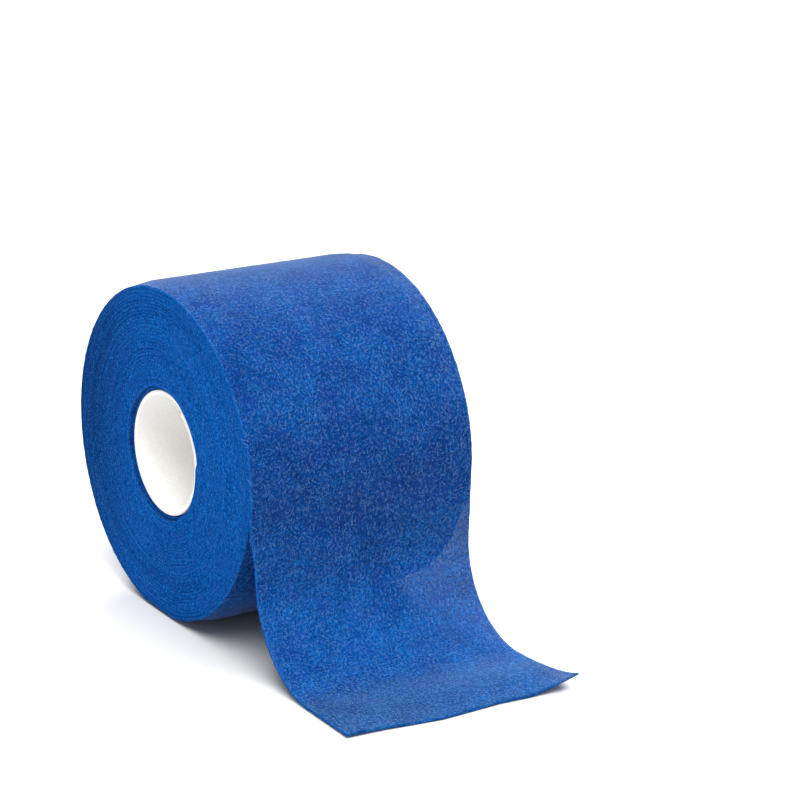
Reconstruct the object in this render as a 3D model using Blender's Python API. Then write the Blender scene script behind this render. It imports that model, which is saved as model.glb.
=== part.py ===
# Cohesive bandage roll: one strip of crinkled, self-gripping nonwoven, wound on a lapped card core.
#
# The roll lies on its rim. Its last turn leaves it at the front, hangs down, bends and runs out
# on the surface as a loose tail with a slanted cut. Lengths are in metres. X runs from the roll's
# axis towards the tail, Y along the axis and Z up. The origin is on the surface, straight under
# the middle of the axis.
#
# Around the axis, an angle of 0 degrees is the front (+X), and it grows downwards: 90 degrees is
# where the roll rests, 180 the back, 270 the top, and 360 the front again, one turn further out.

from math import asin, atan2, ceil, cos, hypot, pi, radians, sin, tau

import bmesh
import bpy

# ---------------------------------------------------------------------------------------------
# Driving dimensions
# ---------------------------------------------------------------------------------------------

STRIP_WIDTH = 0.050             # the bandage, from edge to edge
SHEET = 0.0010                  # the loose tail, crinkles and all
TURN = 0.0007                   # what one turn adds to the winding, pressed by the next
OUTER_RADIUS = 0.0338           # the wound roll, where its last turn leaves it
RIM_DRAW_IN = 0.0006            # how far the stretchy strip's edges draw in at the roll's rims
FLAT_WIDTH = 0.011              # the small flat spot that the roll rests on
SWELL = 0.0003                  # how far the soft roll bulges out of round
SWELL_ANGLE = radians(225)      # the middle of that bulge, high at the back

CARD = 0.0008                   # thickness of the core's card
CORE_INNER_RADIUS = 0.0111      # the card's first turn, at its inner end
CORE_LENGTH = 0.0480            # a little shorter than the strip is wide
LAP_INNER_END = radians(300)    # where the card starts, inside the core
LAP_OUTER_END = radians(350)    # where the card ends, outside the core
CARD_EDGE = radians(2)          # the angle over which a cut card edge steps down
CLEARANCE = 0.0003              # between the core and the bandage

TAIL_ROOT_DROP = 0.005          # the tail parts from the roll this far under the axis
BEND_NEAR = 0.0212              # radius in which the tail bends to the surface, near edge
BEND_FAR = 0.0188               # and far edge
BELLY = 0.0019                  # how far the near edge of the hanging part stands forward
RIPPLE = 0.0004                 # height of the low ripple in the part that lies down
CORNER_LIFT = 0.0030            # how far the cut's far corner curls up
CURL_RUN = 0.27                 # the curl starts at this share of the part that lies down
CURL_SHARE = 0.80               # and at this share of the width
CURL_BEND = 1.2                 # 1 folds the corner up flat from there, more bends it up softly

# The cut end: how far the tail reaches in X, from its near edge (share 0) to its far edge (1)
CUT_LINE = (
    # share of the width, reach
    (0.00, 0.0675),
    (0.16, 0.0680),
    (0.40, 0.0695),
    (0.66, 0.0690),
    (0.83, 0.0696),
    (1.00, 0.0708),
)

# The roll's end faces, from the bore out: how deep each ring of turns lies under the strip's edge
END_FACE_RINGS = (
    # share of the winding, depth
    (0.000, 0.0010),
    (0.045, 0.0010),
    (0.065, 0.0002),
    (0.300, 0.0004),
    (0.550, 0.0000),
    (0.800, 0.0003),
    (0.965, 0.0000),
)

# How finely the shapes are stepped
ROUND_STEP = radians(5)
STATIONS = 13                   # along the roll's width
HANG_STEPS = 5
BEND_STEPS = 9
LYING_STEPS = 7

# ---------------------------------------------------------------------------------------------
# Shapes worked out from them
# ---------------------------------------------------------------------------------------------

REST_ANGLE = pi / 2
INNER_TURN_X = OUTER_RADIUS - SHEET     # underside of the hanging tail


def ease(share):
    """A soft start and a soft end between 0 and 1."""
    share = min(max(share, 0.0), 1.0)
    return share * share * (3 - 2 * share)


def lookup(table, share):
    """The value of a two-column table at a share of its range, straight between its rows."""
    for (start, first), (end, last) in zip(table, table[1:]):
        if share <= end:
            return first + (last - first) * (share - start) / (end - start)
    return table[-1][1]


def card_growth(angle, end_angle):
    """How far the card has wound outwards since its end at end_angle, as a share of its thickness."""
    turned = (angle - end_angle) % tau
    edge_start = tau - CARD_EDGE
    if turned > edge_start:
        return (tau - turned) / CARD_EDGE
    return turned / edge_start


def core_inner_radius(angle):
    return CORE_INNER_RADIUS + CARD * card_growth(angle, LAP_INNER_END)


def core_outer_radius(angle):
    lap = ((LAP_OUTER_END - LAP_INNER_END) % tau) / tau
    return CORE_INNER_RADIUS + CARD * (1 + lap + card_growth(angle, LAP_OUTER_END))


def bore_radius(angle):
    return core_outer_radius(angle) + CLEARANCE


def rim_radius(angle):
    """The winding's outer radius: a spiral, a little out of round."""
    bulge = SWELL * sin(angle / 2) ** 2 * cos(2 * (angle - SWELL_ANGLE))
    return OUTER_RADIUS - TURN * (1 - angle / tau) + bulge


REST_RADIUS = rim_radius(REST_ANGLE)
FLAT_HALF_ANGLE = asin(FLAT_WIDTH / 2 / REST_RADIUS)
AXIS_HEIGHT = REST_RADIUS * cos(FLAT_HALF_ANGLE)
ROOT_ANGLE = asin(TAIL_ROOT_DROP / INNER_TURN_X)


def around(radius, angle):
    """X and Z of a point at an angle around the roll's axis."""
    return radius * cos(angle), AXIS_HEIGHT - radius * sin(angle)


def round_angles(start, end, exact):
    """Even steps from start to end, which give way to the exact angles near them."""
    count = ceil((end - start) / ROUND_STEP)
    steps = [start + (end - start) * number / count for number in range(count + 1)]
    free = [angle for angle in steps if all(abs(angle - fixed) > ROUND_STEP / 2 for fixed in exact)]
    return sorted(free + list(exact))


def station_shares():
    """Where the sections lie across the width, closer together at both rims."""
    inner = [0.1 + 0.8 * number / (STATIONS - 4) for number in range(STATIONS - 3)]
    return [0.0, 0.04] + inner + [0.96, 1.0]


# ---------------------------------------------------------------------------------------------
# The card core
# ---------------------------------------------------------------------------------------------


def make_core():
    """A tube of card, bent round and lapped on itself, with a step inside and a step outside."""
    card_ends = (LAP_INNER_END - CARD_EDGE, LAP_INNER_END, LAP_OUTER_END - CARD_EDGE, LAP_OUTER_END)
    angles = round_angles(0, tau, card_ends)[:-1]
    mesh = bmesh.new()
    loops = []
    for radius, side in (
        (core_inner_radius, -1),
        (core_outer_radius, -1),
        (core_outer_radius, 1),
        (core_inner_radius, 1),
    ):
        loop = []
        for angle in angles:
            x, z = around(radius(angle), angle)
            loop.append(mesh.verts.new((x, side * CORE_LENGTH / 2, z)))
        loops.append(loop)
    for loop, following in zip(loops, loops[1:] + loops[:1]):
        for number in range(len(angles)):
            after = (number + 1) % len(angles)
            mesh.faces.new((loop[number], loop[after], following[after], following[number]))
    return mesh


# ---------------------------------------------------------------------------------------------
# The bandage: the wound body and the loose tail, one strip and one solid
# ---------------------------------------------------------------------------------------------


def body_angles():
    """The winding's angles, from where the tail parts from it, once round to the front."""
    exact = (
        LAP_OUTER_END - CARD_EDGE,
        LAP_OUTER_END,
        REST_ANGLE - FLAT_HALF_ANGLE,
        REST_ANGLE,
        REST_ANGLE + FLAT_HALF_ANGLE,
    )
    return round_angles(ROOT_ANGLE, tau, exact)


def body_outline(angles, share):
    """The winding's outline at a share of its width, drawn in at both rims and flat where it rests."""
    edge = abs(2 * share - 1)
    outline = []
    for angle in angles:
        draw_in = RIM_DRAW_IN * ease((edge - 0.8) / 0.2)
        draw_in *= ease((angle - ROOT_ANGLE) / radians(30)) * ease((tau - angle) / radians(40))
        resting = draw_in == 0 and abs(angle - REST_ANGLE) < FLAT_HALF_ANGLE + radians(0.1)
        x, z = around(rim_radius(angle) - draw_in, angle)
        outline.append((x, 0.0 if resting else max(z, 0.0)))
    return outline


def lying_height(run, share):
    """How far the tail's underside lifts off the surface, by its run to the cut and across its width."""
    ripple = RIPPLE * sin(pi * run) ** 2 * ease((share - 0.35) / 0.3)
    along = max(run - CURL_RUN, 0.0) / (1 - CURL_RUN)
    across = max(share - CURL_SHARE, 0.0) / (1 - CURL_SHARE)
    return ripple + CORNER_LIFT * along**2 * across**CURL_BEND


def tail_section(share):
    """The tail's underside and upper side at a share of the width, from the root to the cut."""
    bend = BEND_NEAR + (BEND_FAR - BEND_NEAR) * share
    root_height = AXIS_HEIGHT - TAIL_ROOT_DROP
    centre_x = INNER_TURN_X + bend
    under = []
    upper = []

    def add(x, z, out_x, out_z):
        under.append((x, z))
        upper.append((x + SHEET * out_x, z + SHEET * out_z))

    for step in range(1, HANG_STEPS + 1):
        height = root_height + (bend - root_height) * step / HANG_STEPS
        forward = BELLY * (1 - share) * ease(step / HANG_STEPS)
        add(INNER_TURN_X + forward, height, 1, 0)
    for step in range(1, BEND_STEPS + 1):
        angle = pi / 2 * step / BEND_STEPS
        forward = BELLY * (1 - share) * cos(angle)
        add(centre_x - bend * cos(angle) + forward, bend * (1 - sin(angle)), cos(angle), sin(angle))
    reach = lookup(CUT_LINE, share)
    for step in range(1, LYING_STEPS + 1):
        run = step / LYING_STEPS
        add(centre_x + (reach - centre_x) * run, lying_height(run, share), 0, 1)
    return under, upper


def add_end_face(mesh, side, angles, rim):
    """The flat end of the winding, ring by ring, from the bore to the rim's own points.

    rim holds the winding's outline at this end, and last the tail's upper root. It gives back the
    ring of points around the bore.
    """
    rings = []
    for share, depth in END_FACE_RINGS:
        ring = []
        for angle, corner in zip(angles, rim):
            bore = bore_radius(angle)
            outer = hypot(corner.co.x, corner.co.z - AXIS_HEIGHT)
            direction = atan2(AXIS_HEIGHT - corner.co.z, corner.co.x)
            x, z = around(bore + (outer - bore) * share, direction)
            ring.append(mesh.verts.new((x, side * (STRIP_WIDTH / 2 - depth), z)))
        rings.append(ring)
    count = len(angles)
    for ring, following in zip(rings, rings[1:]):
        for number in range(count):
            after = (number + 1) % count
            mesh.faces.new((ring[number], ring[after], following[after], following[number]))
    last = rings[-1]
    for number in range(count - 1):
        mesh.faces.new((last[number], last[number + 1], rim[number + 1], rim[number]))
    upper_root = rim[count]
    mesh.faces.new((last[-1], upper_root, rim[count - 1]))
    mesh.faces.new((last[-1], last[0], rim[0], upper_root))
    return rings[0]


def add_grid(mesh, rows):
    for row, following in zip(rows, rows[1:]):
        for number in range(len(row) - 1):
            mesh.faces.new((row[number], row[number + 1], following[number + 1], following[number]))


def make_bandage():
    angles = body_angles()
    mesh = bmesh.new()
    body_rows = []
    under_rows = []
    upper_rows = []
    for share in station_shares():
        y = STRIP_WIDTH * (share - 0.5)
        body = [mesh.verts.new((x, y, z)) for x, z in body_outline(angles, share)]
        upper_root = mesh.verts.new((OUTER_RADIUS, y, AXIS_HEIGHT - TAIL_ROOT_DROP))
        under, upper = tail_section(share)
        body_rows.append(body + [upper_root])
        under_rows.append([body[0]] + [mesh.verts.new((x, y, z)) for x, z in under])
        upper_rows.append([upper_root] + [mesh.verts.new((x, y, z)) for x, z in upper])
    add_grid(mesh, body_rows)
    add_grid(mesh, under_rows)
    add_grid(mesh, upper_rows)

    for under, upper in ((under_rows[0], upper_rows[0]), (under_rows[-1], upper_rows[-1])):
        add_grid(mesh, (under, upper))
    add_grid(mesh, ([row[-1] for row in under_rows], [row[-1] for row in upper_rows]))

    near_bore = add_end_face(mesh, -1, angles, body_rows[0])
    far_bore = add_end_face(mesh, 1, angles, body_rows[-1])
    add_grid(mesh, (near_bore + near_bore[:1], far_bore + far_bore[:1]))
    return mesh


# ---------------------------------------------------------------------------------------------
# Materials and objects
# ---------------------------------------------------------------------------------------------


def make_material(name, colour, roughness):
    material = bpy.data.materials.new(name)
    material.use_nodes = True
    shader = material.node_tree.nodes["Principled BSDF"]
    shader.inputs["Base Color"].default_value = (*colour, 1.0)
    shader.inputs["Roughness"].default_value = roughness
    shader.inputs["Metallic"].default_value = 0.0
    return material


def make_object(name, mesh, material):
    bmesh.ops.recalc_face_normals(mesh, faces=mesh.faces)
    data = bpy.data.meshes.new(name)
    mesh.to_mesh(data)
    mesh.free()
    data.materials.append(material)
    data.shade_smooth()
    data.set_sharp_from_angle(angle=radians(35))
    piece = bpy.data.objects.new(name, data)
    bpy.context.scene.collection.objects.link(piece)
    return piece


for leftover in list(bpy.data.objects):
    bpy.data.objects.remove(leftover)

blue_nonwoven = make_material("blue_nonwoven", (0.010, 0.085, 0.370), 0.90)
white_card = make_material("white_card", (0.86, 0.84, 0.79), 0.75)

make_object("core", make_core(), white_card)
make_object("bandage", make_bandage(), blue_nonwoven)
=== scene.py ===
# %% [markdown]
# # A roll of cohesive bandage
#
# The real thing is one long strip of crinkled nonwoven that grips only itself. It is wound about
# thirty times round a short tube of white card. Here it lies on its rim, and its last turn hangs
# off the front and runs out on the table as a loose tail.
#
# A plain cylinder with a picture of rings would look right from one side only. So this lesson
# winds the whole strip as one mesh by a rule, and leaves to the materials what is smaller than
# half a millimetre: the fibres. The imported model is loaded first. Everything after it is made in
# the same metres and in the same place.

from math import asin, cos, pi, radians, sin, tau

import bmesh
import bpy
from mathutils import Matrix, Vector


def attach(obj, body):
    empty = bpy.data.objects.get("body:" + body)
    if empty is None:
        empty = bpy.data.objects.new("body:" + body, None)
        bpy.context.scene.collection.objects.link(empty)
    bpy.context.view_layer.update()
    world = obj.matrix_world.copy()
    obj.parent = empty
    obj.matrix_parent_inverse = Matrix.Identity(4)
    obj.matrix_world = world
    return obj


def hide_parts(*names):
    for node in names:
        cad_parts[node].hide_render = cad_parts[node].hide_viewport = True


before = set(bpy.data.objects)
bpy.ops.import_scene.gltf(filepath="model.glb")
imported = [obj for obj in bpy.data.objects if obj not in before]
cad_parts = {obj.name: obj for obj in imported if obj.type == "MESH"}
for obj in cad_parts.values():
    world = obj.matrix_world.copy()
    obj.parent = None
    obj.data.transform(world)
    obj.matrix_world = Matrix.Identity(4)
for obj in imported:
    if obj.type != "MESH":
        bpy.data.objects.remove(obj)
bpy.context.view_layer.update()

# %% [markdown]
# ## Sizes
#
# The strip is 50 mm wide. Each turn adds about 0.7 mm, so 4.5 m of it gives a roll 67 mm across.
# These are the sizes that the solid model has too, and the names say what each one is on the
# real roll. An angle round the roll starts at the front, where the tail leaves, and grows
# downwards: a quarter of a turn on is where the roll rests.

# %% Sizes of the roll, in metres
STRIP_WIDTH = 0.050
STRIP_THICKNESS = 0.00068
TURN_PITCH = 0.000693           # what each turn adds, a little more than the strip is thick
OUTER_RADIUS = 0.0338
RIM_DRAW_IN = 0.0006            # the stretched strip's edges draw in at both rims
FLAT_WIDTH = 0.011              # the small flat spot that the roll rests on
SWELL = 0.0003                  # the soft roll is a little out of round
SWELL_ANGLE = radians(225)
FIRST_STATION = -30.028         # in turns before the front: the strip's inner end
RECESS = 0.0010                 # the first turn lies this much deeper than the rest
REST_STATION = -0.75            # where the last turn passes under the roll, which rests on it
REST_ANGLE = pi / 2
SOLID_PITCH = 0.0007            # what each turn adds in the solid model, rounded
SWELL_AT_REST = SWELL / 2 * cos(2 * (REST_ANGLE - SWELL_ANGLE))
REST_RADIUS = OUTER_RADIUS + SOLID_PITCH * REST_STATION + SWELL_AT_REST
AXIS_HEIGHT = REST_RADIUS * cos(asin(FLAT_WIDTH / 2 / REST_RADIUS))
print(f"axis {AXIS_HEIGHT * 1000:.2f} mm above the table")

# %% Sizes of the loose tail, in metres
SOLID_SHEET = 0.0010            # the tail's thickness in the solid model, crinkles and all
TAIL_ROOT_DROP = 0.005          # the tail parts from the roll this far under the axis
BEND_NEAR = 0.0212              # the tail bends to the table in this radius at its near edge
BEND_FAR = 0.0188
BELLY = 0.0019                  # the hanging part's near edge stands forward
RIPPLE = 0.0004                 # one low wave in the part that lies on the table
CORNER_LIFT = 0.0030            # the cut's far corner curls up
CURL_RUN = 0.27                 # from this share of the lying part on
CURL_SHARE = 0.80               # and from this share of the width on
CURL_BEND = 1.2
THIN_TAIL = 0.66                # unpressed and pulled, the tail is this share as thick
NEAR_LIFT = 0.0003              # its near edge lies a little off the table
NEAR_INSET = 0.0005             # and a little further in than the roll's rim
CUT_LINE = ((0.0, 0.0675), (0.16, 0.0680), (0.40, 0.0695))  # share of the width, and reach
CUT_LINE += ((0.66, 0.0690), (0.83, 0.0696), (1.0, 0.0708))
CUT_LOW = 0.065                 # the cut's curve is drawn between these two
CUT_HIGH = 0.075
CUT_MEAN = 0.0692
BEND_MEAN = (BEND_NEAR + BEND_FAR) / 2
HANG_LENGTH = AXIS_HEIGHT - BEND_MEAN
BEND_LENGTH = BEND_MEAN * pi / 2
LYING_LENGTH = CUT_MEAN - (OUTER_RADIUS - SOLID_SHEET) - BEND_MEAN
TAIL_LENGTH = HANG_LENGTH + BEND_LENGTH + LYING_LENGTH

# %% [markdown]
# ## Node maths that reads like a formula
#
# A rule with thirty terms is hard to follow as a wall of Math nodes. A small class helps: it
# holds one output socket, and adding or multiplying two of them makes the node and links it.
# The tree that comes out is the ordinary one, and it works in Geometry Nodes and in materials.


# %% A field is one output socket, with plain arithmetic
def plug(tree, value, socket):
    """Link a field into a socket, or set the socket to a plain number."""
    if isinstance(value, Field):
        tree.links.new(value.socket, socket)
    else:
        socket.default_value = value


def calculate(tree, operation, *values):
    node = tree.nodes.new("ShaderNodeMath")
    node.operation = operation
    for value, socket in zip(values, node.inputs):
        plug(tree, value, socket)
    return Field(tree, node.outputs[0])


class Field:
    def __init__(self, tree, socket):
        self.tree = tree
        self.socket = socket

    def __add__(self, other):
        return calculate(self.tree, "ADD", self, other)

    def __sub__(self, other):
        return calculate(self.tree, "SUBTRACT", self, other)

    def __rsub__(self, other):
        return calculate(self.tree, "SUBTRACT", other, self)

    def __mul__(self, other):
        return calculate(self.tree, "MULTIPLY", self, other)

    def __truediv__(self, other):
        return calculate(self.tree, "DIVIDE", self, other)

    def __pow__(self, other):
        return calculate(self.tree, "POWER", self, other)

    def least(self, other):
        return calculate(self.tree, "MINIMUM", self, other)

    def most(self, other):
        return calculate(self.tree, "MAXIMUM", self, other)

    def sine(self):
        return calculate(self.tree, "SINE", self)

    def cosine(self):
        return calculate(self.tree, "COSINE", self)

    def size(self):
        return calculate(self.tree, "ABSOLUTE", self)

    def sign(self):
        return calculate(self.tree, "SIGN", self)

    def above(self, level):
        return calculate(self.tree, "GREATER_THAN", self, level)

    def below(self, level):
        return calculate(self.tree, "LESS_THAN", self, level)

    def between(self, low, high):
        return self.most(low).least(high)

    def part_of_one(self):
        return calculate(self.tree, "FLOORED_MODULO", self, 1.0)

    def ramp(self, low, high, start=0.0, end=1.0):
        """Start below low and end above high, with a soft way between them."""
        node = self.tree.nodes.new("ShaderNodeMapRange")
        node.interpolation_type = "SMOOTHSTEP"
        for value, socket in zip((self, low, high, start, end), node.inputs):
            plug(self.tree, value, socket)
        return Field(self.tree, node.outputs[0])


Field.__radd__ = Field.__add__
Field.__rmul__ = Field.__mul__


# %% Vectors, noise and curves for the same formulas
def vector(tree, x, y, z):
    node = tree.nodes.new("ShaderNodeCombineXYZ")
    for value, socket in zip((x, y, z), node.inputs):
        plug(tree, value, socket)
    return Field(tree, node.outputs[0])


def parts(tree, field):
    node = tree.nodes.new("ShaderNodeSeparateXYZ")
    tree.links.new(field.socket, node.inputs[0])
    return [Field(tree, socket) for socket in node.outputs]


def noise(tree, place, scale, detail=2.0, roughness=0.5, distortion=0.0):
    """Soft random hills around 0.5."""
    node = tree.nodes.new("ShaderNodeTexNoise")
    labels = ("Vector", "Scale", "Detail", "Roughness", "Distortion")
    for label, value in zip(labels, (place, scale, detail, roughness, distortion)):
        plug(tree, value, node.inputs[label])
    return Field(tree, node.outputs[0])


def graph(tree, field, points):
    """The height of a line drawn through points, both from 0 to 1."""
    node = tree.nodes.new("ShaderNodeFloatCurve")
    line = node.mapping.curves[0]
    for x, y in points[1:-1]:
        line.points.new(x, y)
    line.points[0].location = points[0]
    line.points[len(points) - 1].location = points[-1]
    for point in line.points:
        point.handle_type = "VECTOR"
    node.mapping.update()
    plug(tree, field, node.inputs["Value"])
    return Field(tree, node.outputs[0])


LONGEST_CHAIN = 40              # more nodes in a row than any tree here has
COLUMN_WIDTH = 200
ROW_HEIGHT = 180


def arrange(tree):
    """Put each node to the right of what feeds it, for whoever opens the tree."""
    column = {}
    for _ in range(LONGEST_CHAIN):
        for link in tree.links:
            after = column.get(link.from_node.name, 0) + 1
            if column.get(link.to_node.name, 0) < after:
                column[link.to_node.name] = after
    rows = {}
    for node in tree.nodes:
        place = column.get(node.name, 0)
        rows[place] = rows.get(place, 0) + 1
        node.location = (place * COLUMN_WIDTH, -rows[place] * ROW_HEIGHT)


# %% [markdown]
# ## The strip, wound by a rule
#
# Each point of the strip has two numbers: how far it lies across the strip, from 0 to 1, and its
# station along it. Stations count turns and are negative in the winding. At 0 the strip leaves
# the roll, from 0 to 1 it hangs, from 1 to 2 it bends, and from 2 to 3 it lies on the table.
# One rule turns both numbers into a place, so the turns nest and the tail grows out of the last.
#
# A grid wrapped round the strip's section gives the points. Two grids are used, because only the
# last turn and the tail need points every 0.65 mm for their crinkles. The thirty turns under it
# show only their edges, so a few points across are enough there.

# %% How finely the strip is stepped
INNER_TURNS = 29
STEPS_PER_TURN = 80
INNER_ROWS = INNER_TURNS * STEPS_PER_TURN
INNER_HALF = 6                  # cells across each side of the strip, edge cells and all
OUTER_ROWS = 428
OUTER_HALF = 74
EDGE_CELLS = 2                  # the cells that each rounded edge takes
END_ROWS = 1                    # and the rows that each pinched end takes
OPEN_BY_CELL = 0.43             # a cell in from the edge, the section is open by this share
OPEN_BY_ROW = 0.40              # and by this share a row in from the end, each way
JOINT_STATION = -1.03           # the fine part starts here, under the last turn
EDGE_SHARE = 0.0015             # the strip's rounded edge, as a share of its width
SEED = 7.0                      # moves every noise, so another seed is another roll

# Depth of each ring of turns under the strip's edge, from the bore (0) to the rim (1)
RING_DEPTH = ((0.0, 0.0001), (0.10, 0.0002), (0.30, 0.0004), (0.45, 0.0001), (0.55, 0.0))
RING_DEPTH += ((0.68, 0.00035), (0.80, 0.0002), (0.93, 0.0), (1.0, 0.0))
DEEPEST = 0.0005                # the depth that the curve's full height stands for


# %% The tree's named inputs
def new_tree(name, numbers, objects=()):
    """An empty Geometry Nodes tree, and its named inputs as fields."""
    tree = bpy.data.node_groups.new(name, "GeometryNodeTree")
    tree.interface.new_socket("Geometry", in_out="OUTPUT", socket_type="NodeSocketGeometry")
    for label, value in numbers.items():
        kind = "NodeSocketInt" if isinstance(value, int) else "NodeSocketFloat"
        socket = tree.interface.new_socket(label, in_out="INPUT", socket_type=kind)
        socket.default_value = value
    for label in objects:
        tree.interface.new_socket(label, in_out="INPUT", socket_type="NodeSocketObject")
    start = tree.nodes.new("NodeGroupInput")
    given = {socket.name: Field(tree, socket) for socket in start.outputs if socket.name}
    print(name, "has", len(given), "named inputs")
    return tree, given


def end_tree(tree, geometry):
    """Hand the geometry out of the tree."""
    end = tree.nodes.new("NodeGroupOutput")
    tree.links.new(geometry, end.inputs[0])
    arrange(tree)
    print(tree.name, "has", len(tree.nodes), "nodes")


def realized(tree, geometry):
    node = tree.nodes.new("GeometryNodeRealizeInstances")
    tree.links.new(geometry, node.inputs["Geometry"])
    return node.outputs["Geometry"]


STRIP_INPUTS = {
    "Strip Width": STRIP_WIDTH,
    "Thickness": STRIP_THICKNESS,
    "Turn Pitch": TURN_PITCH,
    "Outer Radius": OUTER_RADIUS,
    "First Station": FIRST_STATION,
    "Axis Height": AXIS_HEIGHT,
    "Rim Draw In": RIM_DRAW_IN,
    "Flat Depth": REST_RADIUS - AXIS_HEIGHT,
    "Swell": SWELL,
    "Bend Near": BEND_NEAR,
    "Bend Far": BEND_FAR,
    "Belly": BELLY,
    "Ripple": RIPPLE,
    "Corner Lift": CORNER_LIFT,
    "Crinkle Height": 0.00013,
    "Turn Wander": 0.00017,
    "Edge Slant": 0.00006,
    "Inner Rows": INNER_ROWS,
    "Outer Rows": OUTER_ROWS,
    "Seed": SEED,
}
tree, given = new_tree("wound_strip", STRIP_INPUTS)


# %% A grid wrapped round the strip's section
def keep(tree, geometry, name, value, domain="POINT", kind="FLOAT"):
    """Store a field on the mesh under a name."""
    node = tree.nodes.new("GeometryNodeStoreNamedAttribute")
    node.data_type = kind
    node.domain = domain
    node.inputs["Name"].default_value = name
    tree.links.new(geometry, node.inputs["Geometry"])
    tree.links.new(value.socket, node.inputs["Value"])
    return node.outputs["Geometry"]


def wrapped_grid(rows, half, station_of):
    """A grid whose columns go round the section, with its across, station and height kept."""
    grid = tree.nodes.new("GeometryNodeMeshGrid")
    grid.inputs["Size X"].default_value = 1
    grid.inputs["Size Y"].default_value = 1
    grid.inputs["Vertices X"].default_value = 2 * half + 1
    plug(tree, rows + 1, grid.inputs["Vertices Y"])
    place = tree.nodes.new("GeometryNodeInputPosition")
    x, y, _ = parts(tree, Field(tree, place.outputs[0]))
    cell = (1 - (x * 2).size()) * half
    inner_cell = (cell - EDGE_CELLS) / (half - 2 * EDGE_CELLS)
    inside = EDGE_SHARE + inner_cell * (1 - 2 * EDGE_SHARE)
    from_edge = cell.least(half - cell)
    row = (y + 0.5) * rows
    from_end = row.least(rows - row)
    open_up = (from_edge * OPEN_BY_CELL).least(from_end * OPEN_BY_ROW).least(0.5)
    along = ((row - END_ROWS) / (rows - 2 * END_ROWS)).between(0.0, 1.0)
    geometry = grid.outputs["Mesh"]
    geometry = keep(tree, geometry, "height", 0.5 + x.sign() * open_up)
    geometry = keep(tree, geometry, "across", inside.between(0.0, 1.0))
    return keep(tree, geometry, "station", station_of(along))


def inner_station(along):
    return given["First Station"] + along * (JOINT_STATION - given["First Station"])


def outer_station(along):
    """Even steps in metres, turned into turns and then into the tail's three legs."""
    wound = -JOINT_STATION * tau * (OUTER_RADIUS - TURN_PITCH / 2)
    run = along * (wound + TAIL_LENGTH) - wound
    hung = (run / HANG_LENGTH).between(0.0, 1.0)
    bent = ((run - HANG_LENGTH) / BEND_LENGTH).between(0.0, 1.0)
    laid = ((run - HANG_LENGTH - BEND_LENGTH) / LYING_LENGTH).between(0.0, 1.0)
    return run.least(0.0) / (wound / -JOINT_STATION) + hung + bent + laid


join = tree.nodes.new("GeometryNodeJoinGeometry")
inner = wrapped_grid(given["Inner Rows"], INNER_HALF, inner_station)
outer = wrapped_grid(given["Outer Rows"], OUTER_HALF, outer_station)
for grid, fineness in ((inner, 0.0), (outer, 1.0)):
    constant = tree.nodes.new("ShaderNodeValue")
    constant.outputs[0].default_value = fineness
    marked = keep(tree, grid, "fine", Field(tree, constant.outputs[0]))
    tree.links.new(marked, join.inputs[0])


# %% Read both numbers back as fields
def named(tree, name):
    node = tree.nodes.new("GeometryNodeInputNamedAttribute")
    node.data_type = "FLOAT"
    node.inputs["Name"].default_value = name
    return Field(tree, node.outputs["Attribute"])


across = named(tree, "across")
station = named(tree, "station")
height = named(tree, "height")
fine = named(tree, "fine")
turns = station.least(0.0)
hung = station.between(0.0, 1.0)
bent = (station - 1).between(0.0, 1.0) * (pi / 2)
laid = (station - 2).between(0.0, 1.0)
share = 1 - turns / given["First Station"]

# %% [markdown]
# ### The winding
#
# A turn's radius grows evenly with its angle, which is all that a spiral is. Three small things
# make it cloth and not a drill bit: the edges draw in at the rims, the roll swells a little out
# of round, and its weight presses a flat spot that fades towards the bore.

# %% Radius of each point in the winding
RIM_START = 0.8                 # from this share of the half width on, the rim draws in
AFTER_STEP = 30 / 360           # but not near the step where the tail parts from the roll
BEFORE_STEP = 320 / 360

angle = turns * tau
turn_share = turns.part_of_one()
edge = (across * 2 - 1).size()
bulge = given["Swell"] * (angle / 2).sine() ** 2 * ((angle - SWELL_ANGLE) * 2).cosine()
draw_in = given["Rim Draw In"] * edge.ramp(RIM_START, 1.0) * share
draw_in = draw_in * turn_share.ramp(0.0, AFTER_STEP) * turn_share.ramp(1.0, BEFORE_STEP)
wound_radius = given["Outer Radius"] + given["Turn Pitch"] * turns + bulge * share - draw_in

# %% [markdown]
# ### The tail
#
# It hangs straight, bends in a quarter of a circle and lies flat. Its near edge bends more
# slowly than the far one and stands forward, the lying part has one low ripple, and the far
# corner of the cut curls up. Each leg's share runs from 0 to 1, so the legs simply add up.

# %% How far the tail has moved from where it leaves the roll
THINNING = (0.1, 0.9)           # it gets thinner between these shares of the hanging part
RIPPLE_SIDE = (0.35, 0.65)      # the ripple grows between these shares of the width
NEAR_SIDE = (0.0, 0.3)          # and the near edge is lifted over these

bend = given["Bend Near"] + (given["Bend Far"] - given["Bend Near"]) * across
hang = given["Axis Height"] - bend
out = ((hung * hang - TAIL_ROOT_DROP) / (hang - TAIL_ROOT_DROP)).ramp(0.0, 1.0)
lean = given["Belly"] * (1 - across) * out
thick = given["Thickness"] * (1 - station.ramp(*THINNING) * (1 - THIN_TAIL))
spare = SOLID_SHEET - thick
reach = graph(tree, across, [(x, (y - CUT_LOW) / (CUT_HIGH - CUT_LOW)) for x, y in CUT_LINE])
reach = CUT_LOW + reach * (CUT_HIGH - CUT_LOW)
lying = reach - (given["Outer Radius"] - SOLID_SHEET) - bend
curl_along = (laid - CURL_RUN).most(0.0) / (1 - CURL_RUN)
curl_across = (across - CURL_SHARE).most(0.0) / (1 - CURL_SHARE)
lift = given["Ripple"] * (laid * pi).sine() ** 2 * across.ramp(*RIPPLE_SIDE)
lift = lift + given["Corner Lift"] * curl_along**2 * curl_across**CURL_BEND
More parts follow.
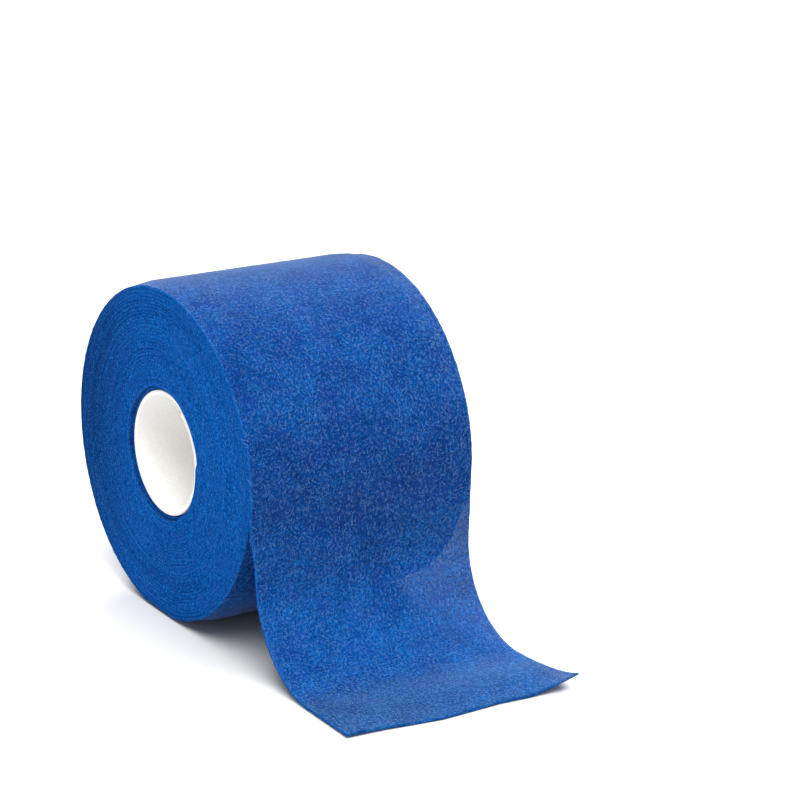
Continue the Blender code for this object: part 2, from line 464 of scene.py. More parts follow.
nearness = across.ramp(*NEAR_SIDE, 1.0, 0.0) * station.ramp(1.0, 2.0)
lift = lift + nearness * NEAR_LIFT
tail_x = (spare + lean) * bent.cosine() - spare + bend * (1 - bent.cosine()) + lying * laid
tail_z = lift - hang * hung - bend * bent.sine()

# %% [markdown]
# ### Crinkles and uneven turns
#
# Elastic threads run along this cloth and gather it, so it is covered in fine crinkles that lie
# mostly across the strip. Noise stretched across the strip gives them. Slower noise lets each
# turn wander sideways by a fifth of a millimetre, which is what shades the roll's end in rings.

# %% Crinkles in the cloth
CRINKLES_PER_METRE = 620
PUCKERS_PER_METRE = 150         # broader dimples among the crinkles
WAVES_PER_METRE = 45            # slow waves that only the loose tail has
ACROSS_SQUEEZE = 0.35           # crinkles are about three times as long across the strip
CRINKLE_SHARE = 0.6             # the rest of the relief is puckers
WAVE_STRENGTH = 1.6
SMOOTH_LEVEL = 0.2              # what lies lower than this is smooth cloth

length = tau * (given["Outer Radius"] * turns + given["Turn Pitch"] * turns * turns / 2)
length = length + hang * hung + bend * bent + lying * laid
width = across * given["Strip Width"]
squeezed = vector(tree, length, width * ACROSS_SQUEEZE, given["Seed"])
crinkle = noise(tree, squeezed, CRINKLES_PER_METRE, 2.0, 0.6)
pucker = noise(tree, vector(tree, length, width, given["Seed"] + 3), PUCKERS_PER_METRE, 1.0)
wave = noise(tree, vector(tree, length, width, given["Seed"] + 5), WAVES_PER_METRE, 1.0)
loose = (hung * 2).least(1.0)
relief = crinkle * CRINKLE_SHARE + pucker * (1 - CRINKLE_SHARE)
relief = relief + (wave - 0.5) * WAVE_STRENGTH * loose
relief = (relief - SMOOTH_LEVEL).most(0.0) * given["Crinkle Height"] * fine

# %% Uneven turns and slit edges
RECESSED_TURN = (0.98, 1.02)    # the recess ends here, in turns from the strip's inner end
WANDER_SPEED = 0.45             # how fast one turn's place changes to the next one's
WANDER_ROUND = 0.8              # and how much it changes round one turn
WANDER_RANGE = 4.0
STEADY_OUTSIDE = -1.6           # the outer turns are held in line
STEADY_INSIDE = 0.08            # and so are the turns next to the core
SLANTED = (0.98, 1.0)           # the slit edge slants over these shares of the half width
RAGGED = (0.97, 1.0)            # and is ragged over these
RAGS_PER_METRE = 700
RAG_DEPTH = 0.0003
INSET_RUN = (0.6, 1.8)          # the stations over which the tail's near edge moves in

ring = graph(tree, share, [(x, y / DEEPEST) for x, y in RING_DEPTH]) * DEEPEST
recess = (station - FIRST_STATION).ramp(*RECESSED_TURN, RECESS, 0.0)
half_width = given["Strip Width"] / 2 - ring * (1 - hung) - recess
round_y = angle.sine() * WANDER_ROUND + given["Seed"]
round_about = vector(tree, turns * WANDER_SPEED, round_y, angle.cosine() * WANDER_ROUND)
wander = (noise(tree, round_about, 1.0, 3.0, 0.8) - 0.5) * WANDER_RANGE * given["Turn Wander"]
wander = wander * turns.ramp(0.0, STEADY_OUTSIDE) * share.ramp(0.0, STEADY_INSIDE)
slant = (height - 0.5) * (across * 2 - 1) * given["Edge Slant"]
slant = slant * edge.ramp(*SLANTED) * (1 - hung)
rags = vector(tree, length, across * 3, given["Seed"] + 9)
ragged = noise(tree, rags, RAGS_PER_METRE, 2.0, 0.7) - 0.5
ragged = ragged * RAG_DEPTH * fine * edge.ramp(*RAGGED)
inset = (1 - across) * station.ramp(*INSET_RUN) * NEAR_INSET
y_place = (across * 2 - 1) * half_width + wander + ragged + inset - slant

# %% Put every point in its place
inner_radius = wound_radius - thick
drop = inner_radius * angle.sine()
pressed = inner_radius - given["Flat Depth"] * share
drop = drop.least(pressed)
stand = height * thick + relief
normal_angle = angle + bent * -1
x_place = inner_radius * angle.cosine() + tail_x + stand * normal_angle.cosine()
z_place = given["Axis Height"] - drop + tail_z - stand * normal_angle.sine()

place = tree.nodes.new("GeometryNodeSetPosition")
tree.links.new(join.outputs[0], place.inputs["Geometry"])
tree.links.new(vector(tree, x_place, y_place, z_place.most(0.0)).socket, place.inputs["Position"])

# %% [markdown]
# ### Seams, map and finish of the strip
#
# The grids' first and last columns meet, and so do the pinched ends, so merging by distance
# closes the mesh. The map holds metres along and across the strip, for patterns that follow the
# cloth. The cut edges get a material of their own: they have no nap, so they look deeper blue.
# What lay pressed until the tail came off has one too, because its nap is still flat: the
# stretch under the roll and the tail's inner face. The tail itself lets a little light through.

# %% Close it, map it and set its materials
surface_blue = bpy.data.materials.new("blue_nonwoven_surface")
pressed_blue = bpy.data.materials.new("blue_nonwoven_pressed")
tail_blue = bpy.data.materials.new("blue_nonwoven_tail")
lining_blue = bpy.data.materials.new("blue_nonwoven_tail_inside")
edge_blue = bpy.data.materials.new("blue_nonwoven_edge")
SHEER_STATION = 0.35            # from here on the tail is a single layer that light gets through
INNER_FACE = 0.3                # what lies lower in the strip's thickness faces the roll
EDGE_FACES = 1 - 1.5 * EDGE_SHARE
SEAM_GAP = 0.000002             # points as close as this are one point of a seam

merge = tree.nodes.new("GeometryNodeMergeByDistance")
merge.inputs["Distance"].default_value = SEAM_GAP
tree.links.new(place.outputs["Geometry"], merge.inputs["Geometry"])
geometry = keep(tree, merge.outputs["Geometry"], "along", length)
geometry = keep(tree, geometry, "UVMap", vector(tree, length, width, 0.0), "CORNER", "FLOAT2")
geometry = realized(tree, geometry)


def finish_with(geometry, material, where=None):
    """Give the faces picked by a field a material."""
    node = tree.nodes.new("GeometryNodeSetMaterial")
    node.inputs["Material"].default_value = material
    tree.links.new(geometry, node.inputs["Geometry"])
    if where is not None:
        tree.links.new(where.socket, node.inputs["Selection"])
    return node.outputs["Geometry"]


geometry = finish_with(geometry, surface_blue)
on_tail = station.above(SHEER_STATION)
for material, where in (
    (pressed_blue, station.below(REST_STATION)),
    (tail_blue, on_tail),
    (lining_blue, on_tail * height.below(INNER_FACE)),
    (edge_blue, edge.above(EDGE_FACES)),
):
    geometry = finish_with(geometry, material, where)
end_tree(tree, geometry)


# %% Turn a tree into a plain mesh
def placed(name, data):
    """A new object at the origin of the scene."""
    piece = bpy.data.objects.new(name, data)
    bpy.context.scene.collection.objects.link(piece)
    return piece


def grown_piece(name, tree, numbers, objects=None):
    """Run a tree on an empty object, and keep what comes out as a plain mesh."""
    piece = placed(name, bpy.data.meshes.new(name))
    modifier = piece.modifiers.new(tree.name, "NODES")
    modifier.node_group = tree
    settings = dict(numbers, **(objects or {}))
    for item in tree.interface.items_tree:
        if item.in_out == "INPUT" and item.name in settings:
            modifier[item.identifier] = settings[item.name]
    bpy.context.view_layer.update()
    depsgraph = bpy.context.evaluated_depsgraph_get()
    evaluated = piece.evaluated_get(depsgraph)
    mesh = bpy.data.meshes.new_from_object(
        evaluated, preserve_all_data_layers=True, depsgraph=depsgraph
    )
    piece.modifiers.clear()
    piece.data = mesh
    mesh.name = name
    mesh.shade_smooth()
    return piece


def describe(piece):
    """Print a piece's size and open edges. Its volume is negative if it is inside out."""
    mesh = bmesh.new()
    mesh.from_mesh(piece.data)
    open_edges = sum(1 for line in mesh.edges if len(line.link_faces) != 2)
    volume = mesh.calc_volume(signed=True)
    triangles = sum(len(face.verts) - 2 for face in mesh.faces)
    mesh.free()
    print(f"{piece.name}: {triangles} triangles, {open_edges} open edges, {volume * 1e6:.2f} cm3")
    return volume


def face_outwards(piece):
    if describe(piece) < 0:
        piece.data.flip_normals()
        describe(piece)


strip = grown_piece("bandage_strip", tree, STRIP_INPUTS)
face_outwards(strip)

# %% [markdown]
# ## Blue nonwoven
#
# Close up, the cloth is a mat of short fibres: pale ends and loops that catch the light, darker
# pits between them, and faint mauve patches where the nap lies another way. All of that is
# smaller than a millimetre, so it is made in a node group that every material of the roll
# shares, each with sizes of its own. Painted shade darkens rows between the crinkles; they run
# across the strip, so they follow its map. The nap is the shader's sheen, which brightens the
# cloth where it is seen at a low angle, and it is weak where the cloth lay pressed.

# %% A shared node group: fibres
LOOP_SCALE = 0.45               # how fine the loops are next to the mat, which is 1
BREAK_SCALE = 0.6               # breaks leave only parts of the loops
DOT_SCALE = 1.9                 # fibre ends
CLOUD_SCALE = 0.6               # clouds are a little larger than the patches
LOOP_CUT = (0.86, 0.97)         # where each of these noises starts to show, and shows fully
BREAK_CUT = (0.48, 0.56)
DOT_CUT = (0.56, 0.72)
PATCH_CUT = (0.42, 0.66)
CLOUD_CUT = (0.40, 0.65)
MAT_RELIEF = 0.7                # the mat's share of the height, and the loops have the rest


def shader_group(name, inputs, outputs):
    """An empty node group. An input without a value is a vector."""
    group = bpy.data.node_groups.new(name, "ShaderNodeTree")
    for label, value in inputs.items():
        kind = "NodeSocketVector" if value is None else "NodeSocketFloat"
        socket = group.interface.new_socket(label, in_out="INPUT", socket_type=kind)
        if value is not None:
            socket.default_value = value
    for label in outputs:
        group.interface.new_socket(label, in_out="OUTPUT", socket_type="NodeSocketFloat")
    start = group.nodes.new("NodeGroupInput")
    end = group.nodes.new("NodeGroupOutput")
    return group, {label: Field(group, start.outputs[label]) for label in inputs}, end


fibres, asked, end = shader_group(
    "fibres",
    {"Vector": None, "Fibre Size": 0.0005, "Patch Size": 0.004},
    ("Mat", "Loops", "Dots", "Patches", "Clouds", "Height"),
)
size = calculate(fibres, "DIVIDE", 1.0, asked["Fibre Size"])
mat = noise(fibres, asked["Vector"], size, 3.0, 0.7)
winding = noise(fibres, asked["Vector"], size * LOOP_SCALE, 1.0, 0.5, 1.6)
line = 1 - (winding * 2 - 1).size()
broken = noise(fibres, asked["Vector"], size * BREAK_SCALE, 1.0).ramp(*BREAK_CUT)
loops = line.ramp(*LOOP_CUT) * broken
dots = noise(fibres, asked["Vector"], size * DOT_SCALE, 1.0).ramp(*DOT_CUT)
patch_scale = calculate(fibres, "DIVIDE", 1.0, asked["Patch Size"])
patch = noise(fibres, asked["Vector"], patch_scale, 2.0, 0.6)
cloud = noise(fibres, asked["Vector"], patch_scale * CLOUD_SCALE, 2.0, 0.5)
results = {
    "Mat": mat,
    "Loops": loops,
    "Patches": patch.ramp(*PATCH_CUT),
    "Clouds": cloud.ramp(*CLOUD_CUT),
    "Dots": dots,
    "Height": mat * MAT_RELIEF + loops * (1 - MAT_RELIEF),
}
for label, field in results.items():
    fibres.links.new(field.socket, end.inputs[label])
arrange(fibres)
print("the fibres' group has", len(fibres.nodes), "nodes and gives", ", ".join(results))


# %% Helpers for a material
def principled(material):
    material.use_nodes = True
    return material.node_tree, material.node_tree.nodes["Principled BSDF"]


def colour_mix(tree, factor, first, second, blend="MIX"):
    node = tree.nodes.new("ShaderNodeMix")
    node.data_type = "RGBA"
    node.blend_type = blend
    plug(tree, factor, node.inputs["Factor"])
    for value, socket in ((first, node.inputs[6]), (second, node.inputs[7])):
        if isinstance(value, tuple):
            socket.default_value = (*value, 1.0)
        else:
            tree.links.new(value, socket)
    return node.outputs[2]


def with_fibres(material, fibre_size, patch_size):
    """A material's nodes, shader and coordinates, and what the fibres give at these sizes."""
    nodes, shader = principled(material)
    coordinates = nodes.nodes.new("ShaderNodeTexCoord").outputs
    node = nodes.nodes.new("ShaderNodeGroup")
    node.node_tree = fibres
    nodes.links.new(coordinates["Object"], node.inputs["Vector"])
    node.inputs["Fibre Size"].default_value = fibre_size
    node.inputs["Patch Size"].default_value = patch_size
    made = {socket.name: Field(nodes, socket) for socket in node.outputs}
    return nodes, shader, coordinates, made


def add_relief(nodes, shader, height, distance, strength=1.0):
    node = nodes.nodes.new("ShaderNodeBump")
    node.inputs["Distance"].default_value = distance
    node.inputs["Strength"].default_value = strength
    plug(nodes, height, node.inputs["Height"])
    nodes.links.new(node.outputs[0], shader.inputs["Normal"])


def finish_shader(material, colour, roughness, specular):
    """Give the shader its colour and its plain numbers."""
    nodes, shader = principled(material)
    nodes.links.new(colour, shader.inputs["Base Color"])
    shader.inputs["Roughness"].default_value = roughness
    shader.inputs["Specular IOR Level"].default_value = specular
    arrange(nodes)
    print(material.name, "has", len(nodes.nodes), "nodes")


# %% The cloth's surface, wound and loose
DEEP_BLUE = (0.0003, 0.013, 0.094)
MID_BLUE = (0.0007, 0.050, 0.250)
PALE_BLUE = (0.0025, 0.108, 0.382)
MAUVE = (0.0065, 0.032, 0.210)
LOOP_BLUE = (0.0290, 0.180, 0.500)
PAINTED_BACKLIGHT = (1.1, 1.44, 1.38)  # painted light: with no turns behind it, the tail is made this much paler, for light that comes through it
BACKLIGHT_OFF_ON_TABLE = (1.05, 0.96, 0.86)   # and where it lies on the table, some of that painted light is taken off again
PAINTED_FRONT_SHADE = (0.85, 0.80, 0.84)       # painted shade: the cloth is darkened this much round where the tail leaves the roll
FULL_NAP = 0.8
PRESSED_NAP = 0.2
NAP_ROUGHNESS = 0.3
NAP_TINT = (0.72, 0.86, 1.0)
CLOTH_FIBRE = 0.00032
CLOTH_PATCH = 0.0045
CLOTH_RELIEF = 0.00016
PIT_CUT = (0.41, 0.51)          # the mat is deep blue below this, and middle blue above it
PALE_CUT = (0.53, 0.63)         # and pale blue above this
ROWS_PER_METRE = 1300.0         # painted shade in rows between the crinkles, which run across the strip
ROW_STRETCH = 0.14              # and are about seven times as long as they are wide
ROW_CUT = (0.44, 0.64)
# how dark the painted shade in the rows is
CREASE_SHADE_AMOUNT = 0.28
FRAY_AND_RIM_LIGHT_WIDTH = 0.0005                 # the slit edges fray to pale ends over this width, partly a painted highlight where the rim catches light
FRAY_CUT = (0.40, 0.60)

# Metres along the strip from where the tail leaves the roll
FRONT_SHADE_FROM = (-0.022, -0.002)
FRONT_SHADE_TO = (0.002, 0.014)
UNBACKED = (0.006, 0.022)       # here the roll's turns end behind it
LYING = (0.036, 0.052)          # and here it comes to lie on the table
SHEER_START = SHEER_STATION * HANG_LENGTH
SHEER_RUN = 0.006               # light gets through fully after this much more
PORES_PER_METRE = 1800.0
PORE_CUT = (0.36, 0.58)
PORE_OPACITY = (0.78, 0.88)     # a pore hides this much of what is behind it, and fibres this


def cloth_surface(material, sheer, nap):
    """The napped face of the cloth. A sheer one lets through some of what is behind it, and is
    painted paler for the light that comes through it.
    """
    nodes, shader, coordinates, made = with_fibres(material, CLOTH_FIBRE, CLOTH_PATCH)
    along, width, _ = parts(nodes, Field(nodes, coordinates["UV"]))
    fray_and_rim_light = width.least(STRIP_WIDTH - width).ramp(0.0, FRAY_AND_RIM_LIGHT_WIDTH, 1.0, 0.0)
    row_place = vector(nodes, along, width * ROW_STRETCH, 0.0)
    rows = noise(nodes, row_place, ROWS_PER_METRE, 2.0, 0.6).ramp(*ROW_CUT)
    colour = colour_mix(nodes, made["Mat"].ramp(*PIT_CUT), DEEP_BLUE, MID_BLUE)
    # Each of these lies over the ones before it: how much of it shows, and its colour
    for amount, layer in (
        (made["Mat"].ramp(*PALE_CUT), PALE_BLUE),
        (made["Patches"] * 0.6, MAUVE),
        (made["Dots"] * (0.95 - made["Clouds"] * 0.50), LOOP_BLUE),
        (made["Loops"] * 0.55, LOOP_BLUE),
        # frayed pale ends along the slit edges, partly a painted highlight where the rim catches
        # light
        (fray_and_rim_light * made["Mat"].ramp(*FRAY_CUT) * 0.8, LOOP_BLUE),
        (made["Clouds"] * 0.2, DEEP_BLUE),
        # painted shade between the crinkles
        (rows * CREASE_SHADE_AMOUNT, DEEP_BLUE),
    ):
        colour = colour_mix(nodes, amount, colour, layer)
    # painted shade low on the front, where the tail leaves the roll
    front_shade = along.ramp(*FRONT_SHADE_FROM) * along.ramp(*FRONT_SHADE_TO, 1.0, 0.0)
    colour = colour_mix(nodes, front_shade, colour, PAINTED_FRONT_SHADE, "MULTIPLY")
    if sheer:
        # painted light through the tail where no turns are behind it, less where it lies on the
        # table
        colour = colour_mix(nodes, along.ramp(*UNBACKED), colour, PAINTED_BACKLIGHT, "MULTIPLY")
        colour = colour_mix(nodes, along.ramp(*LYING), colour, BACKLIGHT_OFF_ON_TABLE, "MULTIPLY")
        place = Field(nodes, coordinates["UV"])
        pores = noise(nodes, place, PORES_PER_METRE, 2.0, 0.6).ramp(*PORE_CUT, *PORE_OPACITY)
        free = along.ramp(SHEER_START, SHEER_START + SHEER_RUN)
        nodes.links.new((1 - free * (1 - pores)).socket, shader.inputs["Alpha"])
    shader.inputs["Sheen Weight"].default_value = nap
    shader.inputs["Sheen Roughness"].default_value = NAP_ROUGHNESS
    shader.inputs["Sheen Tint"].default_value = (*NAP_TINT, 1.0)
    add_relief(nodes, shader, made["Height"], CLOTH_RELIEF)
    finish_shader(material, colour, roughness=0.92, specular=0.0)


cloth_surface(surface_blue, sheer=False, nap=FULL_NAP)
cloth_surface(pressed_blue, sheer=False, nap=PRESSED_NAP)
cloth_surface(tail_blue, sheer=True, nap=FULL_NAP)
cloth_surface(lining_blue, sheer=True, nap=PRESSED_NAP)

# %% [markdown]
# ## The cut edges
#
# The roll's two ends show nothing but the strip's slit edges, without nap. Some turns are a shade
# darker than their neighbours, by the turn number, so no ring is painted. Painted shade darkens
# the ends towards the side away from the tail, by their place, and deepens the darker turns there.

# %% The cloth's cut edges
EDGE_DEEP = (0.0010, 0.050, 0.250)
EDGE_MIDDLE = (0.0025, 0.090, 0.385)
EDGE_PALE = (0.010, 0.160, 0.540)
EDGE_PATCH = (0.012, 0.080, 0.360)
EDGE_ENDS = (0.070, 0.220, 0.600)
DARKER_TURN = (0.001, 0.030, 0.150)
# painted shade for the side of the ends away from the tail
SIDE_SHADE_COLOUR = (0.003, 0.006, 0.025)
SIDE_SHADE_STRENGTH = 0.46                # how much painted shade the ends take on at the side away from the tail
SIDE_SHADE_ENDS = -0.006             # metres from the axis: from here on, there is no painted side shade
EDGE_FIBRE = 0.0005
EDGE_PATCH_SIZE = 0.003
EDGE_RELIEF = 0.00013

nodes, shader, coordinates, made = with_fibres(edge_blue, EDGE_FIBRE, EDGE_PATCH_SIZE)
turn_number = nodes.nodes.new("ShaderNodeAttribute")
turn_number.attribute_name = "station"
turn = Field(nodes, turn_number.outputs["Fac"])
streak = noise(nodes, vector(nodes, turn * 0.9, 2.0, 0.0), 1.0, 3.0, 0.75)
across_end = parts(nodes, Field(nodes, coordinates["Object"]))[0]
# painted shade: the ends darken towards the side away from the tail
painted_side_shade = across_end.ramp(-OUTER_RADIUS, SIDE_SHADE_ENDS, SIDE_SHADE_STRENGTH, 0.0)
colour = colour_mix(nodes, made["Mat"].ramp(0.38, 0.52), EDGE_DEEP, EDGE_MIDDLE)
for amount, layer in (
    (made["Mat"].ramp(0.54, 0.64), EDGE_PALE),
    (made["Patches"] * 0.4, EDGE_PATCH),
    # the darker turns are darkened more where the painted side shade lies
    (streak.ramp(0.35, 0.65, 1.0, 0.0) * (0.3 + painted_side_shade * 0.8), DARKER_TURN),
    (painted_side_shade, SIDE_SHADE_COLOUR),
    (made["Dots"] * 0.5, EDGE_ENDS),
):
    colour = colour_mix(nodes, amount, colour, layer)
add_relief(nodes, shader, made["Height"], EDGE_RELIEF)
finish_shader(edge_blue, colour, roughness=0.95, specular=0.0)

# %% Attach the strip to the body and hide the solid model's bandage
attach(strip, "root")
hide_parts("bandage")

# %% [markdown]
# ## The card core
#
# A strip of white card is bent round and lapped on itself by 50 degrees, so a small step shows
# inside the bore and another lies outside, under the cloth. Wound from a real card section with
# softened edges, the step is there from every side.

# %% Sizes of the core
CARD = 0.0008
CARD_GAP = 0.00002              # the two layers of the lap just part
CORE_INNER_RADIUS = 0.0111
CORE_LENGTH = 0.0480
LAP_INNER_END = radians(-60)    # where the card starts, inside the lap
LAP_OUTER_END = radians(350)    # and where it ends, outside it
SOFTENED = 0.00012              # the radius that the cut card's edges are worn to
CORNER_STEPS = 3
CARD_STEPS = 272
WORN_END = 0.55                 # the cut ends are worn to this share of the card's thickness


# %% Wind the card
def card_section():
    """The card's section across its length and thickness, with softened corners."""
    half = CORE_LENGTH / 2
    thick = CARD - CARD_GAP
    corners = ((-half, 0, 1), (half, 0, 2), (half, thick, 3), (-half, thick, 0))
    points = []
    for y, depth, quarter in corners:
        centre_y = y - SOFTENED if y > 0 else y + SOFTENED
        centre_depth = depth - SOFTENED if depth > 0 else depth + SOFTENED
        for step in range(CORNER_STEPS + 1):
            turned = pi / 2 * (quarter + step / CORNER_STEPS) + pi / 2
            points.append(
                (centre_y + SOFTENED * cos(turned), centre_depth + SOFTENED * sin(turned))
            )
    return points


def wind_card():
    """Carry the section round the axis, and close both ends."""
    mesh = bmesh.new()
    section = card_section()
    middle = (CARD - CARD_GAP) / 2
    loops = []
    for step in range(CARD_STEPS + 1):
        share = step / CARD_STEPS
        angle = LAP_INNER_END + (LAP_OUTER_END - LAP_INNER_END) * share
        base = CORE_INNER_RADIUS + CARD * (angle - LAP_INNER_END) / tau
        pinch = WORN_END if step in (0, CARD_STEPS) else 1.0
        loop = []
        for y, depth in section:
            radius = base + middle + (depth - middle) * pinch
            loop.append(
                mesh.verts.new((radius * cos(angle), y, AXIS_HEIGHT - radius * sin(angle)))
            )
        loops.append(loop)
    count = len(section)
    for loop, following in zip(loops, loops[1:]):
        for number in range(count):
            after = (number + 1) % count
            mesh.faces.new((loop[number], loop[after], following[after], following[number]))
    mesh.faces.new(loops[0])
    mesh.faces.new(loops[-1])
    bmesh.ops.recalc_face_normals(mesh, faces=mesh.faces)
    return mesh


card_mesh = bpy.data.meshes.new("card_core")
wound_card = wind_card()
wound_card.to_mesh(card_mesh)
wound_card.free()
card_mesh.shade_smooth()
card_mesh.set_sharp_from_angle(angle=radians(50))
card = placed("card_core", card_mesh)
describe(card)

# %% White card
CARD_DARK = (0.90, 0.88, 0.85)
CARD_PALE = (0.95, 0.945, 0.93)
CARD_PATCH = (0.91, 0.89, 0.84)
CARD_RELIEF = 0.00003

white_card = bpy.data.materials.new("white_card_pulp")
nodes, shader, _, made = with_fibres(white_card, fibre_size=0.0006, patch_size=0.006)
colour = colour_mix(nodes, made["Mat"].ramp(0.3, 0.7), CARD_DARK, CARD_PALE)
colour = colour_mix(nodes, made["Patches"] * 0.3, colour, CARD_PATCH)
add_relief(nodes, shader, made["Height"], CARD_RELIEF, strength=0.5)
finish_shader(white_card, colour, roughness=0.7, specular=0.3)
card.data.materials.append(white_card)

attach(card, "root")
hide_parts("core")

# %% [markdown]
# ## Stray fibres
#
# Short fibres stand off the nap, most of them along the slit edges, and catch the light. Points
# are scattered on the strip's outer face, each gets a short line along the surface, and one noise
# bends them all. The lines are then given a thin three-sided section. A thousand of them would
# be tiring to place by hand, and a picture of them would not stand off the edges.

# %% Sizes of the fibres
FIBRE_INPUTS = {
    "Fibres per Square Metre": 65000.0,
    "Along the Edges": 8.0,
    "Shortest": 0.0006,
    "Longest": 0.0021,
    "Radius": 0.00003,
    "Curl": 0.0007,
    "Lift": 0.00012,
    "Seed": 11,
}
FIBRE_POINTS = 6
FIBRE_SIDES = 3
EDGE_BAND = 0.985               # past this share of the half width, the fibres stand denser
LAST_TURN = -1.0                # the station that the roll's outer face starts at
OUTSIDE = 0.9                   # what lies higher in the strip's thickness faces outwards
BENDS_PER_METRE = 700.0
print("a fibre has", FIBRE_POINTS, "points along it and", FIBRE_SIDES, "sides")

# %% Scatter points on the outer face
tree, given = new_tree("stray_fibres", FIBRE_INPUTS, ["Strip"])
source = tree.nodes.new("GeometryNodeObjectInfo")
tree.links.new(given["Strip"].socket, source.inputs["Object"])
edge = (named(tree, "across") * 2 - 1).size()
outer_face = named(tree, "station").above(LAST_TURN) * named(tree, "height").above(OUTSIDE)
dense = 1 + edge.above(EDGE_BAND) * given["Along the Edges"]
scatter = tree.nodes.new("GeometryNodeDistributePointsOnFaces")
tree.links.new(source.outputs["Geometry"], scatter.inputs["Mesh"])
density = outer_face * dense * given["Fibres per Square Metre"]
tree.links.new(density.socket, scatter.inputs["Density"])
tree.links.new(given["Seed"].socket, scatter.inputs["Seed"])
off = Field(tree, scatter.outputs["Normal"])
points = keep(tree, scatter.outputs["Points"], "off", off, "POINT", "FLOAT_VECTOR")


# %% Lay a short line on each point
def any_between(low, high, seed):
    """A different number for each fibre."""
    node = tree.nodes.new("FunctionNodeRandomValue")
    plug(tree, low, node.inputs[2])
    plug(tree, high, node.inputs[3])
    plug(tree, seed, node.inputs["Seed"])
    return Field(tree, node.outputs[1])


line = tree.nodes.new("GeometryNodeCurvePrimitiveLine")
line.inputs["Start"].default_value = (-0.5, 0.0, 0.0)
line.inputs["End"].default_value = (0.5, 0.0, 0.0)
stepped = tree.nodes.new("GeometryNodeResampleCurve")
stepped.inputs["Count"].default_value = FIBRE_POINTS
tree.links.new(line.outputs["Curve"], stepped.inputs["Curve"])
turned = tree.nodes.new("FunctionNodeRotateRotation")
turned.rotation_space = "LOCAL"
tree.links.new(scatter.outputs["Rotation"], turned.inputs["Rotation"])
spin = vector(tree, 0.0, 0.0, any_between(0.0, tau, given["Seed"] + 1))
tree.links.new(spin.socket, turned.inputs["Rotate By"])
laid_out = tree.nodes.new("GeometryNodeInstanceOnPoints")
tree.links.new(points, laid_out.inputs["Points"])
tree.links.new(stepped.outputs["Curve"], laid_out.inputs["Instance"])
tree.links.new(turned.outputs["Rotation"], laid_out.inputs["Rotation"])
reach = any_between(given["Shortest"], given["Longest"], given["Seed"] + 2)
tree.links.new(vector(tree, reach, reach, reach).socket, laid_out.inputs["Scale"])
fibre_lines = realized(tree, laid_out.outputs["Instances"])

# %% Bend the lines and lift them off the cloth
spot = Field(tree, tree.nodes.new("GeometryNodeInputPosition").outputs[0])
bends = tree.nodes.new("ShaderNodeTexNoise")
tree.links.new(spot.socket, bends.inputs["Vector"])
bends.inputs["Scale"].default_value = BENDS_PER_METRE
bend_x, bend_y, bend_z = parts(tree, Field(tree, bends.outputs["Color"]))
away = tree.nodes.new("GeometryNodeInputNamedAttribute")
away.data_type = "FLOAT_VECTOR"
away.inputs["Name"].default_value = "off"
off_x, off_y, off_z = parts(tree, Field(tree, away.outputs["Attribute"]))
into = (bend_x - 0.5) * off_x + (bend_y - 0.5) * off_y + (bend_z - 0.5) * off_z
part_way = Field(tree, tree.nodes.new("GeometryNodeSplineParameter").outputs["Factor"])
risen = (part_way * pi).sine() * given["Lift"]
x, y, z = [
    start + ((bent_by - 0.5) - into * off_by) * given["Curl"] * 2 + risen * off_by
    for start, bent_by, off_by in zip(
        parts(tree, spot), (bend_x, bend_y, bend_z), (off_x, off_y, off_z)
    )
]
curled = tree.nodes.new("GeometryNodeSetPosition")
tree.links.new(fibre_lines, curled.inputs["Geometry"])
above_table = vector(tree, x, y, z.most(given["Radius"]))
tree.links.new(above_table.socket, curled.inputs["Position"])

# %% Give them a section, and finish
stray_blue = bpy.data.materials.new("blue_stray_fibre")
section = tree.nodes.new("GeometryNodeCurvePrimitiveCircle")
section.inputs["Resolution"].default_value = FIBRE_SIDES
tree.links.new(given["Radius"].socket, section.inputs["Radius"])
tube = tree.nodes.new("GeometryNodeCurveToMesh")
tube.inputs["Fill Caps"].default_value = True
tree.links.new(curled.outputs["Geometry"], tube.inputs["Curve"])
tree.links.new(section.outputs["Curve"], tube.inputs["Profile Curve"])
end_tree(tree, finish_with(realized(tree, tube.outputs["Mesh"]), stray_blue))
stray = grown_piece("stray_fibres", tree, FIBRE_INPUTS, {"Strip": strip})
face_outwards(stray)

# %% The fibres' blue
STRAY_BLUE = (0.070, 0.230, 0.600)
STRAY_MAUVE = (0.120, 0.240, 0.600)

nodes, _, _, made = with_fibres(stray_blue, fibre_size=0.0008, patch_size=0.006)
colour = colour_mix(nodes, made["Patches"], STRAY_BLUE, STRAY_MAUVE)
finish_shader(stray_blue, colour, roughness=0.7, specular=0.2)
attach(stray, "root")

# %% [markdown]
# ## Table, light and camera
#
# A wide pale table and three soft lamps keep the picture plain: a broad one above, one behind that
# draws the nap out along the top, and a weak one for the end that faces us. The sky gives the
# rest, and the bright table lights the roll from below, as a white studio table does.

# %% The table
TABLE_SIZE = 12.0
TABLE_DROP = 0.00005            # a hair under the tail, so the two faces never fight
TABLE_GREY = (0.72, 0.72, 0.72)

table_mesh = bpy.data.meshes.new("table")
corner = TABLE_SIZE / 2
table_mesh.from_pydata(
    [(-corner, -corner, 0), (corner, -corner, 0), (corner, corner, 0), (-corner, corner, 0)],
    [],
    [(0, 1, 2, 3)],
)
table = placed("table", table_mesh)
pale = bpy.data.materials.new("pale_table")
shader = principled(pale)[1]
shader.inputs["Base Color"].default_value = (*TABLE_GREY, 1.0)
shader.inputs["Roughness"].default_value = 0.95
shader.inputs["Specular IOR Level"].default_value = 0.1
table.data.materials.append(pale)
table.location.z = -TABLE_DROP
print("table", TABLE_SIZE, "m square")

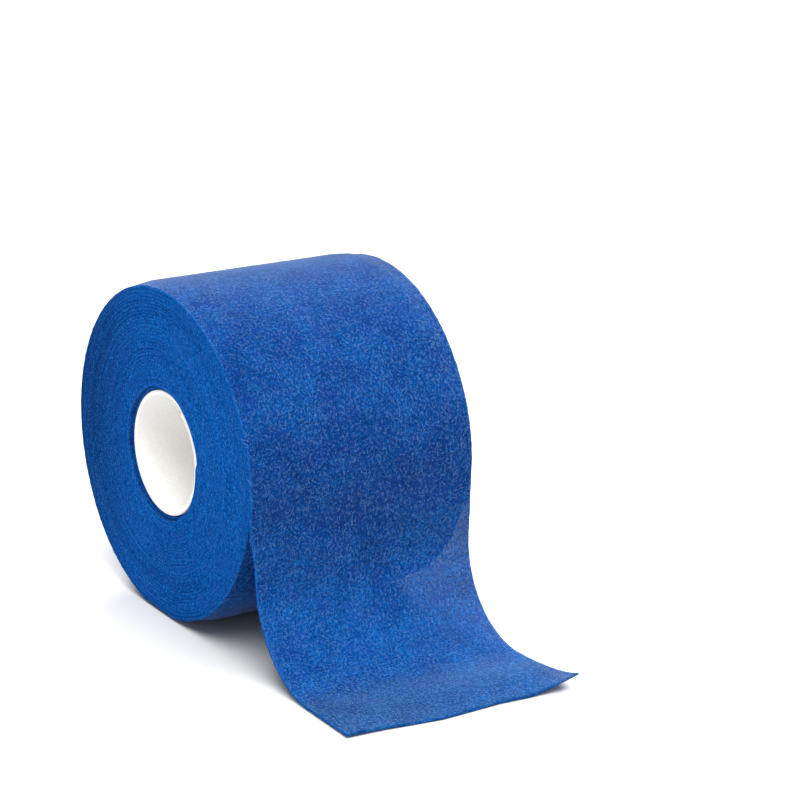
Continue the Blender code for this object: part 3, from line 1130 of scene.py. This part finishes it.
# %% Light
SKY = 0.3                       # how strong its light is on the roll
BACKDROP = 1.0                  # how bright the sky looks behind the table's edge
LAMPS = (
    # name, energy, where it shines from, its width in degrees
    ("above", 4.1, (0.35, -0.15, 1.0), 50),
    ("behind", 3.6, (-0.55, 0.45, 0.55), 35),
    ("front", 0.42, (0.55, -0.80, 0.15), 60),
)
world = bpy.data.worlds.new("soft_sky")
bpy.context.scene.world = world
world.use_nodes = True
sky_nodes = world.node_tree
sky_nodes.nodes["Background"].inputs["Color"].default_value = (1.0, 1.0, 1.0, 1.0)
seen = sky_nodes.nodes.new("ShaderNodeLightPath")
strength = Field(sky_nodes, seen.outputs["Is Camera Ray"]).ramp(0.0, 1.0, SKY, BACKDROP)
sky_nodes.links.new(strength.socket, sky_nodes.nodes["Background"].inputs["Strength"])
for name, energy, towards, spread in LAMPS:
    lamp_data = bpy.data.lights.new(name, "SUN")
    lamp_data.energy = energy
    lamp_data.angle = radians(spread)
    lamp = placed(name, lamp_data)
    lamp.rotation_mode = "QUATERNION"
    lamp.rotation_quaternion = Vector(towards).to_track_quat("Z", "Y")
print(len(LAMPS), "lamps and a soft sky")

# %% Camera
AZIMUTH = radians(55.43)        # round from the direction that the roll's near end faces
ELEVATION = radians(18.54)
ROLL = radians(2.20)            # the photo leans by this much
LENS = 132.27                   # millimetres
CAMERA_PLACE = (0.4675, -0.2914, 0.2257)
back = Vector((sin(AZIMUTH) * cos(ELEVATION), -cos(AZIMUTH) * cos(ELEVATION), sin(ELEVATION)))
level = Vector((cos(AZIMUTH), sin(AZIMUTH), 0.0))
upright = back.cross(level)
right = level * cos(ROLL) + upright * sin(ROLL)
up = upright * cos(ROLL) - level * sin(ROLL)
camera_data = bpy.data.cameras.new("camera")
camera_data.lens = LENS
camera_data.sensor_width = 36.0
camera_data.clip_start = 0.01
camera_data.clip_end = 50.0
camera = placed("camera", camera_data)
turned_to = Matrix((right, up, back)).transposed().to_4x4()
camera.matrix_world = Matrix.Translation(CAMERA_PLACE) @ turned_to
bpy.context.scene.camera = camera
bpy.context.scene.view_settings.view_transform = "Standard"
print(f"camera {Vector(CAMERA_PLACE).length:.3f} m from the origin")
